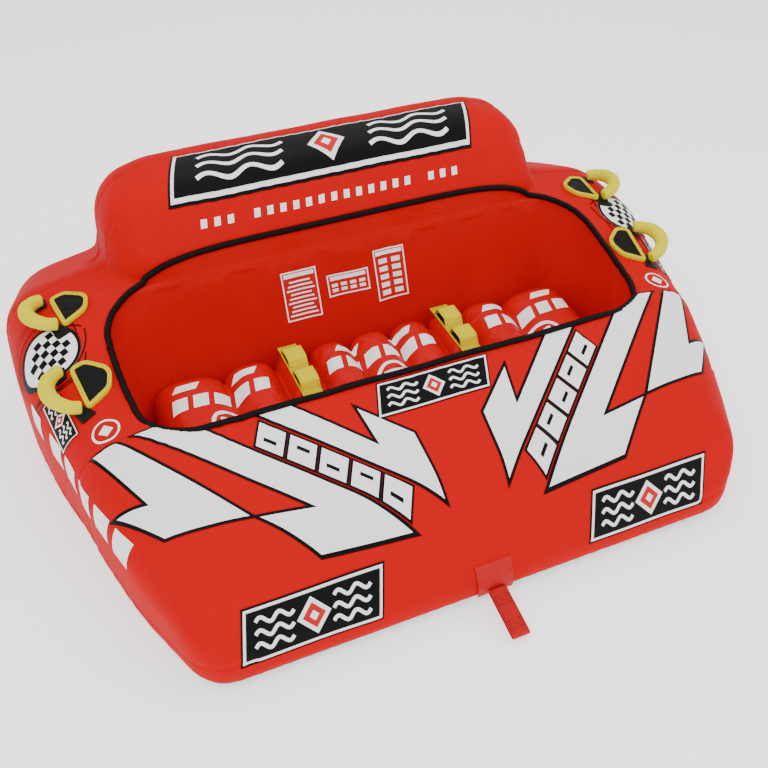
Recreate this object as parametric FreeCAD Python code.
"""Three-seat cockpit towable tube: inflated chambers inside a sewn nylon cover.

Millimetres. X is across the tube, Y runs from the nose (-) to the backrest (+), Z is up.
The tube rests on Z = 0 and the middle of its outer box is at X = Y = 0.
"""
import FreeCAD, Part
import math
import os
from FreeCAD import Vector

# --- Driving dimensions -----------------------------------------------------------------
overall_width = 1770.0        # widest place of the two arms
cockpit_width = 1314.0        # between the arms, at the rim
bow_depth = 416.0             # nose edge to the front of the cockpit rim
cockpit_depth = 479.0         # front of the rim to the back of the rim
back_depth = 440.0            # back of the rim to the rear of the tube
backrest_height = 665.0       # top of the backrest above the ground
backrest_width = 1200.0
arm_height = 455.0            # top of the arms beside the backrest
deck_height = 387.0           # top of the bow at the cockpit rim
well_floor_height = 120.0     # cockpit floor above the ground
strap_reach = 125.0           # tow strap ahead of the nose

cover_thickness = 3.0         # nylon cover with its foam backing
skin_gap = 0.5                # between the cover and the chambers inside it
chamber_gap = 0.8             # between two chambers
running_gap = 0.4             # between pieces that move on each other

# --- Nose and deck ----------------------------------------------------------------------
toe_angle = 60.0              # front face above the ground, in degrees
toe_radius = 50.0
knee_back = 125.0             # nose edge to the knee between front face and deck
knee_height = 285.0
knee_radius = 250.0

# --- Arms -------------------------------------------------------------------------------
bottom_radius = 70.0
shoulder_radius = 130.0
crown_radius = 250.0
crown_half_width = 600.0      # the level middle part of a cross-section
shoulder_width = 200.0        # least width of the sloping shoulder beside it
rear_radius = 120.0
nose_corner_radius = 130.0
nose_half_width = 640.0
rear_corner_radius = 220.0

# --- Cockpit well -----------------------------------------------------------------------
well_corner_radius = 130.0
back_wall_angle = 70.0        # cockpit back wall above the ground, in degrees
side_wall_angle = 80.0        # arm inner walls above the ground, in degrees
rim_back_height = 510.0
rim_side_height = 405.0
piping_width = 16.0
piping_height = 6.0
label_thickness = 0.8

# --- Cover seams ------------------------------------------------------------------------
bottom_seam_height = 25.0
band_seam_height = 80.0
band_inner_half = 560.0
bow_seam_back = 44.0          # rim front to the seam between bow and arms
arm_seam_back = 115.0         # rim back to the rear seam of the arm covers
crest_seam_back = 210.0       # rim back to the seam along the top of the backrest
arm_seam_half = 560.0
arm_seam_height = 470.0

# --- Seat -------------------------------------------------------------------------------
seat_crest_height = 240.0
seat_valley_depth = 34.0
seat_skin = 2.0
seat_end_gap = 8.0            # between the seat cells and the cockpit walls
cell_gap = 0.8
centre_cell_width = 116.0
handle_cell_width = 92.0
inner_cell_width = 137.0

# --- Handles ----------------------------------------------------------------------------
inner_strap_width = 50.0
inner_strap_length = 206.0
webbing_thickness = 3.0
arch_height = 30.0            # top of a hand-hold above the seat strap
pad_length = 132.0
pad_width = 92.0
pad_thickness = 10.0
binding_width = 9.0
binding_height = 12.0
grip_radius = 13.0
grip_clearance = 0.5          # between the grip's ends and the patches under them
grip_reach = 50.0             # how far the grip bows out from its anchors
grip_lift = 24.0              # middle of the grip above its anchors
front_handle_back = 645.0     # nose edge to the middle of the front handles
rear_handle_back = 892.0      # nose edge to the middle of the rear handles
handle_half_span = 715.0      # centre line to the middle of a knuckle pad
anchor_thickness = 3.0

# --- Tow strap --------------------------------------------------------------------------
tow_strap_width = 42.0
tow_strap_ply = 2.4
tow_strap_eye = 9.0
tow_strap_droop = 12.0        # slope of the strap below level, in degrees
tow_strap_root_height = 46.0
harness_width = 50.0
harness_thickness = 2.0

# --- Rear fittings ----------------------------------------------------------------------
zip_length = 900.0
zip_height = 118.0
zip_tape_width = 34.0
zip_tape_thickness = 1.2
zip_teeth_width = 6.0
zip_teeth_thickness = 2.4
slider_length = 16.0
slider_width = 12.0
slider_thickness = 5.0
pull_length = 34.0
valve_offset = 625.0          # centre line to an arm valve
rear_valve_offset = 535.0     # centre line to the valve of the rear chamber
valve_height = 118.0
valve_flange_radius = 32.0
valve_bore_radius = 17.0
valve_cap_radius = 22.0
valve_cap_thickness = 6.0
valve_throat_depth = 30.0

# --- Worked-out sizes -------------------------------------------------------------------
body_length = bow_depth + cockpit_depth + back_depth
zip_stack = zip_tape_thickness + running_gap + slider_thickness
overall_length = strap_reach + body_length + zip_stack
nose_y = -overall_length / 2 + strap_reach
rim_front_y = nose_y + bow_depth
rim_back_y = rim_front_y + cockpit_depth
rear_y = rim_back_y + back_depth
half_width = overall_width / 2
cockpit_half = cockpit_width / 2
big = 2 * max(overall_width, overall_length)

parts_folder = "parts"
os.makedirs(parts_folder, exist_ok=True)


def save(name, shape):
    """Write one named piece, after a check that it is sound."""
    solids = shape.Solids
    if not solids or not shape.isValid():
        raise ValueError(name + " is not a sound solid")
    if len(solids) > 1:
        shape = Part.makeCompound(solids)
    else:
        shape = solids[0]
    shape.exportStep(parts_folder + "/" + name + ".step")
    volume = sum(solid.Volume for solid in solids) / 1000.0
    print(f"{name}: {len(solids)} solid(s), {volume:.1f} cm3")


# --- Outlines ---------------------------------------------------------------------------
def inset_corners(corners, inset):
    """Corner points of a polygon, each side moved inwards, with the turn at each corner."""
    moved = []
    count = len(corners)
    for index in range(count):
        before = Vector(*corners[index - 1][:2], 0)
        here = Vector(*corners[index][:2], 0)
        after = Vector(*corners[(index + 1) % count][:2], 0)
        side_in = (here - before).normalize()
        side_out = (after - here).normalize()
        middle = Vector(-side_in.y - side_out.y, side_in.x + side_out.x, 0)
        shift = 2 * inset / middle.Length ** 2
        turn = side_in.x * side_out.y - side_in.y * side_out.x
        moved.append((here + middle * shift, turn))
    return moved


def rounded_wire(corners, inset, place):
    """A polygon of (x, y, radius) corners, counter-clockwise, as lines and tangent arcs."""
    moved = inset_corners(corners, inset)
    count = len(moved)
    arcs = []
    for index in range(count):
        here, turn = moved[index]
        back = (moved[index - 1][0] - here).normalize()
        ahead = (moved[(index + 1) % count][0] - here).normalize()
        radius = corners[index][2] - inset if turn > 0 else corners[index][2] + inset
        radius = max(radius, 0.5)
        half_angle = back.getAngle(ahead) / 2
        reach = radius / math.tan(half_angle)
        inward = (back + ahead).normalize()
        centre = here + inward * (radius / math.sin(half_angle))
        arcs.append((here + back * reach, centre - inward * radius, here + ahead * reach))
    edges = []
    for index in range(count):
        start, middle, end = arcs[index]
        edges.append(Part.Arc(place(start), place(middle), place(end)).toShape())
        following = arcs[(index + 1) % count][0]
        if following.distanceToPoint(end) > 1e-6:
            edges.append(Part.LineSegment(place(end), place(following)).toShape())
    return Part.Wire(edges)


def rounded_rectangle(x_low, x_high, y_low, y_high, radius):
    return [
        (x_low, y_low, radius),
        (x_high, y_low, radius),
        (x_high, y_high, radius),
        (x_low, y_high, radius),
    ]


def mirrored(outline):
    """A closed outline from its right half, listed counter-clockwise from the bottom."""
    return outline + [(-x, y, radius) for x, y, radius in reversed(outline)]


def along_x(corners, inset=0.0, low=-big, high=big):
    """An outline in Y and Z, drawn out along X."""
    face = Part.Face(rounded_wire(corners, inset, lambda p: Vector(low, p.x, p.y)))
    return face.extrude(Vector(high - low, 0, 0))


def along_y(corners, inset=0.0, low=-big, high=big):
    """An outline in X and Z, drawn out along Y."""
    face = Part.Face(rounded_wire(corners, inset, lambda p: Vector(p.x, low, p.y)))
    return face.extrude(Vector(0, high - low, 0))


def along_z(corners, inset=0.0, low=-big, high=big):
    """An outline in X and Y, drawn out along Z."""
    face = Part.Face(rounded_wire(corners, inset, lambda p: Vector(p.x, p.y, low)))
    return face.extrude(Vector(0, 0, high - low))


def block(x_low, x_high, y_low, y_high, z_low, z_high):
    corner = Vector(x_low, y_low, z_low)
    return Part.makeBox(x_high - x_low, y_high - y_low, z_high - z_low, corner)


def mirror_x(shape):
    return shape.mirror(Vector(0, 0, 0), Vector(1, 0, 0))


# --- The inflated outer shape -----------------------------------------------------------
# Each cross-section of the hull: its place, how far its side lies inside the widest place,
# the height of its shoulder, and the height of its level middle.
deck_slope = (deck_height - knee_height) / (bow_depth - knee_back)
low_station_y = nose_y - 85.0
deck_station_y = rim_front_y + 19.0
low_deck_height = deck_height - deck_slope * (deck_station_y - low_station_y)
hull_sections = [
    (low_station_y, 265.0, low_deck_height - 15.0, low_deck_height),
    (deck_station_y, 85.0, deck_height - 42.0, deck_height),
    (deck_station_y + 160.0, 40.0, deck_height - 32.0, deck_height + 5.0),
    (rim_back_y - 60.0, 0.0, arm_height - 55.0, arm_height),
    (rim_back_y + 140.0, 0.0, arm_height - 55.0, arm_height),
    (rear_y - 100.0, 35.0, arm_height - 125.0, arm_height - 75.0),
    (rear_y, 105.0, arm_height - 195.0, arm_height - 155.0),
]


def hull_section(section, inset):
    """One cross-section of the bow and arms, as a wire in X and Z."""
    y, side_inset, shoulder_height, top_height = section
    side = half_width - side_inset
    crown = min(crown_half_width, side - shoulder_width)
    outline = mirrored([
        (side, 0.0, bottom_radius),
        (side, shoulder_height, shoulder_radius),
        (crown, top_height, crown_radius),
    ])
    return rounded_wire(outline, inset, lambda p: Vector(p.x, y, p.y))


def hull_side_outline():
    """Nose and rear of the hull as seen from the side; the top is left open."""
    toe_tangent = toe_radius / math.tan(math.radians(toe_angle / 2))
    toe_y = nose_y - (toe_tangent - toe_radius)
    top = backrest_height + 200.0
    knee_y = nose_y + knee_back
    deck_end = knee_y + (top - knee_height) / deck_slope
    return [
        (toe_y, 0.0, toe_radius),
        (rear_y, 0.0, 60.0),
        (rear_y, arm_height - 155.0, rear_radius),
        (rear_y - 200.0, top, 50.0),
        (deck_end, top, 50.0),
        (knee_y, knee_height, knee_radius),
    ]


def hull_plan_outline():
    """Rounded corners of the hull as seen from above."""
    return mirrored([
        (nose_half_width, nose_y, nose_corner_radius),
        (half_width - 85.0, deck_station_y, 500.0),
        (half_width, rim_back_y - 110.0, 600.0),
        (half_width, rear_y, rear_corner_radius),
    ])


# Cross-sections of the backrest towards its end: how far inside the end, how much lower,
# how much thinner on each face, and the radii of its top corners.
backrest_ends = [
    (0.0, 118.0, 52.0, 60.0, 50.0),
    (24.0, 66.0, 30.0, 80.0, 65.0),
    (70.0, 24.0, 10.0, 110.0, 85.0),
    (150.0, 0.0, 0.0, 130.0, 100.0),
]


def backrest_section(x, drop, thinner, rear_round, front_round, inset):
    """One cross-section of the backrest, as a wire in Y and Z."""
    foot_y = rim_back_y - (rim_back_height - 50.0) / math.tan(math.radians(back_wall_angle))
    top = backrest_height - drop
    outline = [
        (foot_y + 8.0 + thinner, 50.0, 20.0),
        (rear_y - 12.0 - thinner, 50.0, 20.0),
        (rim_back_y + 400.0 - thinner, 400.0, 300.0),
        (rim_back_y + 308.0 - thinner, top, rear_round),
        (rim_back_y + 105.0 + thinner, top, front_round),
        (rim_back_y + 2.0 + thinner, rim_back_height - drop / 2, 80.0),
    ]
    return rounded_wire(outline, inset, lambda p: Vector(x, p.x, p.y))


def backrest(inset):
    """The high rounded roll behind the riders."""
    half = backrest_width / 2 - inset
    wires = [backrest_section(-half + end, *size, inset) for end, *size in backrest_ends]
    wires += [backrest_section(half - end, *size, inset) for end, *size in backrest_ends[::-1]]
    return Part.makeLoft(wires, True, True)


def hull(inset):
    wires = [hull_section(section, inset) for section in hull_sections]
    body = Part.makeLoft(wires, True, True)
    body = body.common(along_x(hull_side_outline(), inset))
    return body.common(along_z(hull_plan_outline(), inset))


def well(grow, floor_grow=None):
    """The cockpit hollow, its walls moved outwards by grow."""
    floor_z = well_floor_height - (grow if floor_grow is None else floor_grow)

    def level(z):
        side = cockpit_half - (rim_side_height - z) / math.tan(math.radians(side_wall_angle))
        back = rim_back_y - (rim_back_height - z) / math.tan(math.radians(back_wall_angle))
        side += grow
        back += grow
        outline = rounded_rectangle(-side, side, rim_front_y - grow, back, well_corner_radius)
        return rounded_wire(outline, 0.0, lambda p: Vector(p.x, p.y, z))
    top = backrest_height + 60.0
    return Part.makeLoft([level(floor_z), level(top)], True, True)


def outer_body(inset):
    """Everything the cover wraps, each surface moved inwards by inset."""
    return hull(inset).fuse(backrest(inset)).cut(well(inset))


# --- Cover and chambers -----------------------------------------------------------------
def outside_x(limit):
    """The space further from the centre line than limit, on both sides."""
    right = block(limit, big, -big, big, -big, big)
    return right.fuse(mirror_x(right))


def side_half(shape, sign):
    """The half of a shape on one side of the centre line."""
    low, high = (0.0, big) if sign > 0 else (-big, 0.0)
    return shape.common(block(low, high, -big, big, -big, big))


body = outer_body(0.0)
lining_well = well(cover_thickness)
inner_body = outer_body(cover_thickness)
skin = body.cut(inner_body).cut(lining_well)
lining = body.common(lining_well)

bow_seam_y = rim_front_y + bow_seam_back
arm_seam_y = rim_back_y + arm_seam_back
crest_seam_y = rim_back_y + crest_seam_back
upper_skin = skin.common(block(-big, big, -big, big, bottom_seam_height, big))
band_zone = outside_x(band_inner_half).common(
    block(-big, big, -big, arm_seam_y, -big, band_seam_height))
bands = upper_skin.common(band_zone)
panels = upper_skin.cut(band_zone)
front_zone = block(-big, big, -big, bow_seam_y, -big, big)
arm_zone = outside_x(arm_seam_half).common(
    block(-big, big, bow_seam_y, arm_seam_y, -big, arm_seam_height))
rear_zone = block(-big, big, crest_seam_y, big, -big, big).fuse(
    outside_x(backrest_width / 2).common(block(-big, big, arm_seam_y, big, -big, big)))
backrest_zone_panels = panels.cut(front_zone).cut(arm_zone).cut(rear_zone)

save("bottom_cover", skin.common(block(-big, big, -big, big, -big, bottom_seam_height)))
save("bow_cover", panels.common(front_zone))
save("backrest_front_cover", backrest_zone_panels)
for name, piece in (("arm_cover_", panels.common(arm_zone)), ("side_band_", bands)):
    left_piece = side_half(piece, -1)
    save(name + "left", left_piece)
    save(name + "right", mirror_x(left_piece))
wall_zone = block(-big, big, -big, big, well_floor_height, big)
save("cockpit_wall_lining", lining.common(wall_zone))
save("cockpit_floor_lining", lining.cut(wall_zone))

chamber_inset = cover_thickness + skin_gap
chamber_body = outer_body(chamber_inset)
harness_zone = block(
    -harness_width / 2 - skin_gap, harness_width / 2 + skin_gap, -big, big,
    -big, cover_thickness + harness_thickness + skin_gap)
chamber_body = chamber_body.cut(harness_zone)
floor_half = cockpit_half - 54.0
corner_half = cockpit_half - well_corner_radius - 90.0
floor_top = well_floor_height - chamber_inset
front_split = rim_front_y + 10.0
floor_back_y = rim_back_y - (
    (rim_back_height - well_floor_height) / math.tan(math.radians(back_wall_angle)))
back_split = floor_back_y - 10.0
backrest_split = 400.0
bow_space = block(-big, big, -big, front_split, -big, big)
behind_bow = block(-big, big, front_split + chamber_gap, big, -big, big)
well_corners = outside_x(corner_half).common(
    block(-big, big, -big, back_split, floor_top + chamber_gap, big))
arm_space = outside_x(floor_half + chamber_gap).fuse(well_corners).common(behind_bow)
middle = block(-floor_half, floor_half, -big, big, -big, big).common(behind_bow)
floor_space = middle.common(block(-big, big, -big, back_split, -big, floor_top))
back_space = middle.common(block(-big, big, back_split + chamber_gap, big, -big, big))
rear_space = back_space.common(block(-big, big, -big, big, -big, backrest_split))
backrest_space = back_space.common(
    block(-big, big, -big, big, backrest_split + chamber_gap, big))
save("bow_chamber", chamber_body.common(bow_space))
save("floor_chamber", chamber_body.common(floor_space))
save("backrest_chamber", chamber_body.common(backrest_space))

harness = block(
    -harness_width / 2, harness_width / 2, nose_y + 90.0, rear_y - 90.0,
    cover_thickness, cover_thickness + harness_thickness)
save("tow_harness_webbing", harness)

# --- Valves -----------------------------------------------------------------------------
def disc(x, z, radius, y_low, y_high):
    return Part.makeCylinder(radius, y_high - y_low, Vector(x, y_low, z), Vector(0, 1, 0))


def valve_body(x):
    """A flange against the chamber with a throat that runs into it."""
    seat = rear_y - chamber_inset
    flange = disc(x, valve_height, valve_flange_radius, seat, seat + cover_thickness)
    inner_end = seat - valve_throat_depth
    throat = disc(x, valve_height, valve_bore_radius, inner_end, seat)
    bore = disc(x, valve_height, valve_bore_radius - 2.5, inner_end - 1.0, rear_y)
    return flange.fuse(throat).cut(bore)


def valve_cap(x):
    """A quarter-turn plug with a finger rib across its head."""
    face = rear_y - skin_gap + running_gap
    head = disc(x, valve_height, valve_cap_radius, face, face + valve_cap_thickness - 2.0)
    shank_radius = valve_bore_radius - 2.5 - running_gap
    shank = disc(x, valve_height, shank_radius, face - 20.0, face)
    rib = block(
        x - valve_cap_radius + 4.0, x + valve_cap_radius - 4.0,
        face + valve_cap_thickness - 2.0, face + valve_cap_thickness,
        valve_height - 3.0, valve_height + 3.0)
    return head.fuse(shank).fuse(rib).removeSplitter()


valves = {"left": -valve_offset, "right": valve_offset, "rear": -rear_valve_offset}
rear_skin = panels.common(rear_zone)
throats = None
for valve_name, x in valves.items():
    hole = disc(x, valve_height, valve_flange_radius + 1.0, rear_y - 20.0, rear_y + 20.0)
    rear_skin = rear_skin.cut(hole)
    inner_end = rear_y - chamber_inset - valve_throat_depth
    throat = disc(x, valve_height, valve_bore_radius, inner_end, rear_y)
    throats = throat if throats is None else throats.fuse(throat)
    save("valve_body_" + valve_name, valve_body(x))
    save("valve_cap_" + valve_name, valve_cap(x))
save("rear_cover", rear_skin)
save("rear_chamber", chamber_body.common(rear_space).cut(throats))
arm_chambers = chamber_body.common(arm_space).cut(throats)
save("arm_chamber_left", side_half(arm_chambers, -1))
save("arm_chamber_right", side_half(arm_chambers, 1))

# --- Piping round the cockpit -----------------------------------------------------------
raised_body = body.copy()
raised_body.translate(Vector(0, 0, piping_height))
rim_zone = well(piping_width).cut(well(0.0))
save("rim_piping", raised_body.cut(body).common(rim_zone))

# --- Labels on the back wall ------------------------------------------------------------
label_places = [(-150.0, 100.0, 285.0, 415.0), (-18.0, 120.0, 322.0, 382.0), (104.0, 92.0, 282.0, 418.0)]
label_layer = well(0.0).cut(well(-label_thickness)).common(
    block(-big, big, floor_back_y, big, -big, big))
labels = []
for centre, width, low, high in label_places:
    window = block(centre - width / 2, centre + width / 2, -big, big, low, high)
    labels += label_layer.common(window).Solids
save("wall_labels", Part.makeCompound(labels))

# --- Seat -------------------------------------------------------------------------------
def seat_outline(grow):
    """The seat from the side: it leans on the back wall and ends short of the front."""
    top = seat_crest_height + 24.0
    lean = (top - well_floor_height) / math.tan(math.radians(back_wall_angle))
    front_y = rim_front_y + seat_end_gap
    back_y = floor_back_y - seat_end_gap
    return [
        (front_y - grow, well_floor_height, 2.0),
        (back_y + grow, well_floor_height, 2.0),
        (back_y + lean + grow, top, 25.0),
        (front_y - grow, top, 25.0),
    ]


def seat_cell(left, right, grow):
    """One inflated cell, flat below and crowned above, running front to back."""
    valley = seat_crest_height - seat_valley_depth
    middle = (left + right) / 2
    low_left = Vector(left, -big, well_floor_height)
    low_right = Vector(right, -big, well_floor_height)
    high_right = Vector(right, -big, valley + grow)
    crest = Vector(middle, -big, seat_crest_height + grow)
    high_left = Vector(left, -big, valley + grow)
    edges = [
        Part.LineSegment(low_left, low_right).toShape(),
        Part.LineSegment(low_right, high_right).toShape(),
        Part.Arc(high_right, crest, high_left).toShape(),
        Part.LineSegment(high_left, low_left).toShape(),
    ]
    prism = Part.Face(Part.Wire(edges)).extrude(Vector(0, 2 * big, 0))
    room = well(grow - seat_end_gap, 0.0)
    return prism.common(along_x(seat_outline(grow))).common(room)


seat_edge = (
    cockpit_half - (rim_side_height - well_floor_height) / math.tan(math.radians(side_wall_angle))
    - seat_end_gap)
handle_cell_inner = 1.5 * centre_cell_width
handle_cell_outer = handle_cell_inner + handle_cell_width
inner_cell_outer = handle_cell_outer + inner_cell_width
centre_edges = [centre_cell_width * step for step in (-1.5, -0.5, 0.5, 1.5)]
right_edges = [handle_cell_outer, inner_cell_outer, seat_edge]
seat_groups = {
    "seat_centre": centre_edges,
    "seat_right": right_edges,
    "seat_left": [-x for x in reversed(right_edges)],
    "handle_cell_right": [handle_cell_inner, handle_cell_outer],
    "handle_cell_left": [-handle_cell_outer, -handle_cell_inner],
}


def group_cells(edges, margin, grow):
    """The cells between a row of edges, each widened by margin and grown outwards."""
    cells = []
    for left, right in zip(edges[:-1], edges[1:]):
        cells.append(seat_cell(left - margin, right + margin, grow))
    return cells


def fused(shapes):
    whole = shapes[0]
    for shape in shapes[1:]:
        whole = whole.fuse(shape)
    return whole


def group_skin(edges):
    """The seat cover over one group of cells."""
    outer = fused(group_cells(edges, 0.2, skin_gap + seat_skin))
    inner = fused(group_cells(edges, 0.4, skin_gap))
    return outer.cut(inner)


for name, edges in seat_groups.items():
    save(name, Part.makeCompound(group_cells(edges, -cell_gap / 2, 0.0)))
side_skin = group_skin(seat_groups["handle_cell_right"] + seat_groups["seat_right"][1:])
seat_skins = fused([group_skin(seat_groups["seat_centre"]), side_skin, mirror_x(side_skin)])
above_floor = block(-big, big, -big, big, well_floor_height + 4.0, big)
save("seat_cover", seat_skins.common(above_floor))

# --- Hand-holds on the seat -------------------------------------------------------------
strap_x = (handle_cell_inner + handle_cell_outer) / 2
strap_z = seat_crest_height + skin_gap + seat_skin
strap_back_y = floor_back_y + 22.0
strap_front_y = strap_back_y - inner_strap_length
arch_span = (inner_strap_length - 26.0) / 2 - 13.0
arch_starts = [strap_front_y + 13.0, strap_front_y + 26.0 + arch_span]
guard_thickness = 5.0
guard_margin = 9.0


def arch_outline(start, inset):
    return [
        (start, strap_z - 20.0, 1.0),
        (start + arch_span, strap_z - 20.0, 1.0),
        (start + arch_span, strap_z + 4.0, 12.0),
        (start + arch_span - 14.0, strap_z + arch_height, 14.0),
        (start + 14.0, strap_z + arch_height, 14.0),
        (start, strap_z + 4.0, 12.0),
    ]


def inner_handle(centre):
    """A webbing strip with two raised hand-holds, and the guards under them."""
    low = centre - inner_strap_width / 2
    high = centre + inner_strap_width / 2
    above = block(-big, big, -big, big, strap_z, big)
    strap = block(low, high, strap_front_y, strap_back_y, strap_z, strap_z + webbing_thickness)
    guards = []
    for start in arch_starts:
        outer = along_x(arch_outline(start, 0.0), 0.0, low, high)
        inner = along_x(arch_outline(start, 0.0), webbing_thickness, low - 1, high + 1)
        strap = strap.fuse(outer.cut(inner).common(above))
        guards.append(block(
            centre - inner_strap_width / 2 + 3.0, centre + inner_strap_width / 2 - 3.0,
            start + guard_margin, start + arch_span - guard_margin,
            strap_z + webbing_thickness, strap_z + webbing_thickness + guard_thickness))
    return strap, Part.makeCompound(guards)


for side_name, sign in (("left", -1), ("right", 1)):
    strap, guards = inner_handle(sign * strap_x)
    save("seat_handle_strap_" + side_name, strap)
    save("seat_handle_guards_" + side_name, guards)

# --- Outer handles ----------------------------------------------------------------------
def height_at(x, y):
    """Height of the cover's upper surface at a place on the arm."""
    probe = Part.makeLine(Vector(x, y, well_floor_height), Vector(x, y, backrest_height))
    return body.common(probe).BoundBox.ZMax


def placed(corners, x, y):
    """Corners given outwards and rearwards from a handle, placed on the left arm."""
    moved = [(x - outwards, y + back, radius) for outwards, back, radius in corners]
    return moved[::-1]


def pad_corners():
    """A leaf-shaped knuckle pad: straight on its outer side, round on its inner side."""
    half_long = pad_length / 2
    half_wide = pad_width / 2
    return [
        (half_wide - 16.0, -half_long, 10.0),
        (half_wide, half_long - 8.0, 14.0),
        (8.0, half_long, 30.0),
        (-half_wide, 20.0, 36.0),
        (-half_wide + 14.0, -32.0, 38.0),
    ]


# The sewn patches under the front end and the rear end of a grip.
anchor_corners = [
    [(12.0, -82.0, 6.0), (50.0, -92.0, 6.0), (66.0, -40.0, 8.0), (50.0, -28.0, 6.0)],
    [(54.0, 44.0, 5.0), (84.0, 40.0, 5.0), (82.0, 74.0, 8.0), (54.0, 80.0, 8.0)],
]


def grip_points(x, y):
    """Rear end, middle and front end of a grip's centre line; it is hinged at its ends."""
    clearance = anchor_thickness + grip_radius + grip_clearance
    rear_x = x - 66.0
    front_x = x - 44.0
    rear = Vector(rear_x, y + 58.0, height_at(rear_x, y + 58.0) + clearance)
    front = Vector(front_x, y - 60.0, height_at(front_x, y - 60.0) + clearance)
    middle = (rear + front) / 2 + Vector(-grip_reach, 0, grip_lift - grip_reach * 0.3)
    return rear, middle, front


def grip_shape(rear_end, middle, front_end):
    """A foam-padded grip: a round bar bent to an arc."""
    centre_line = Part.Arc(rear_end, middle, front_end).toShape()
    tangent = centre_line.tangentAt(centre_line.FirstParameter)
    circle = Part.Wire([Part.makeCircle(grip_radius, rear_end, tangent)])
    return Part.Wire([centre_line]).makePipeShell([circle], True, True)


pad_layer = outer_body(-pad_thickness).cut(body)
binding_layer = outer_body(-binding_height).cut(body)
anchor_layer = outer_body(-anchor_thickness).cut(body)
above_arms = block(-big, big, -big, big, 200.0, big)
for place, back in (("front", front_handle_back), ("rear", rear_handle_back)):
    x = -handle_half_span
    y = nose_y + back
    leaf = along_z(placed(pad_corners(), x, y), 0.0).common(above_arms)
    leaf_inside = along_z(placed(pad_corners(), x, y), binding_width).common(above_arms)
    anchors = []
    for corners in anchor_corners:
        column = along_z(placed(corners, x, y), 0.0).common(above_arms)
        anchors += anchor_layer.common(column.cut(leaf)).Solids
    ends = grip_points(x, y)
    print(f"  hinge of the {place} left grip: {ends[0]} to {ends[2]}")
    pieces = {
        "knuckle_pad_": pad_layer.common(leaf_inside),
        "pad_binding_": binding_layer.common(leaf.cut(leaf_inside)),
        "handle_anchors_": Part.makeCompound(anchors),
        "handle_grip_": grip_shape(*ends),
    }
    for name, piece in pieces.items():
        save(name + place + "_left", piece)
        save(name + place + "_right", mirror_x(piece))

# --- Tow strap --------------------------------------------------------------------------
patch_zone = block(-45.0, 45.0, -big, nose_y + 80.0, bottom_seam_height + 4.0, 110.0)
save("tow_patch", anchor_layer.common(patch_zone))
strap_half_height = tow_strap_eye / 2 + tow_strap_ply
hinge_y = nose_y - anchor_thickness - running_gap - strap_half_height
strap_end = (strap_reach - (nose_y - hinge_y)) / math.cos(math.radians(tow_strap_droop))
strap_outline = rounded_rectangle(
    hinge_y - strap_end, hinge_y + strap_half_height, tow_strap_root_height - strap_half_height,
    tow_strap_root_height + strap_half_height, strap_half_height - 0.1)
half_strap = tow_strap_width / 2
tow_strap = along_x(strap_outline, 0.0, -half_strap, half_strap).cut(
    along_x(strap_outline, tow_strap_ply, -half_strap - 1.0, half_strap + 1.0))
tow_strap.rotate(
    Vector(0, hinge_y, tow_strap_root_height), Vector(1, 0, 0), tow_strap_droop)
save("tow_strap", tow_strap)

# --- Zip along the rear -----------------------------------------------------------------
half_zip = zip_length / 2
tape_face = rear_y + zip_tape_thickness
save("zip_tape", block(
    -half_zip - 15.0, half_zip + 15.0, rear_y, tape_face,
    zip_height - zip_tape_width / 2, zip_height + zip_tape_width / 2))
save("zip_teeth", block(
    -half_zip, half_zip, tape_face, tape_face + zip_teeth_thickness,
    zip_height - zip_teeth_width / 2, zip_height + zip_teeth_width / 2))
slider_low = -half_zip + 4.0
slider_face = tape_face + running_gap
channel_half = zip_teeth_width / 2 + running_gap
pin_z = zip_height - slider_width / 2 - 3.0
pin_y = slider_face + 2.2
pin_radius = 1.0
slider = block(
    slider_low, slider_low + slider_length, slider_face, slider_face + slider_thickness,
    zip_height - slider_width / 2, zip_height + slider_width / 2)
slider = slider.cut(block(
    slider_low - 1.0, slider_low + slider_length + 1.0,
    slider_face - 1.0, tape_face + zip_teeth_thickness + running_gap,
    zip_height - channel_half, zip_height + channel_half))
slider_middle = slider_low + slider_length / 2
ear_gap = 4.5
for sign in (-1, 1):
    inner = slider_middle + sign * ear_gap
    outer = inner + sign * 2.0
    slider = slider.fuse(block(
        min(inner, outer), max(inner, outer), slider_face, slider_face + 4.4,
        pin_z - 2.5, zip_height - slider_width / 2))
pin = Part.makeCylinder(
    pin_radius, 2 * ear_gap + 2.0, Vector(slider_middle - ear_gap - 1.0, pin_y, pin_z),
    Vector(1, 0, 0))
save("zip_slider", slider.fuse(pin).removeSplitter())
pull_half = ear_gap - running_gap
pull_outline = rounded_rectangle(
    pin_y - 1.7, pin_y + 1.7, pin_z - pull_length, pin_z + 1.7, 1.6)
pull = along_x(pull_outline, 0.0, slider_middle - pull_half, slider_middle + pull_half)
pull = pull.cut(Part.makeCylinder(
    pin_radius + 0.1, 4 * ear_gap, Vector(slider_middle - 2 * ear_gap, pin_y, pin_z),
    Vector(1, 0, 0)))
save("zip_pull", pull)

print(f"overall {overall_width:.0f} x {overall_length:.1f} x {backrest_height:.0f}")
print(f"tow strap hinge at y {hinge_y:.2f}, z {tow_strap_root_height:.2f}")
print(f"zip pull hinge at x {slider_middle:.2f}, y {pin_y:.2f}, z {pin_z:.2f}")
print(f"nose {nose_y:.2f}, rim {rim_front_y:.2f} to {rim_back_y:.2f}, rear {rear_y:.2f}")
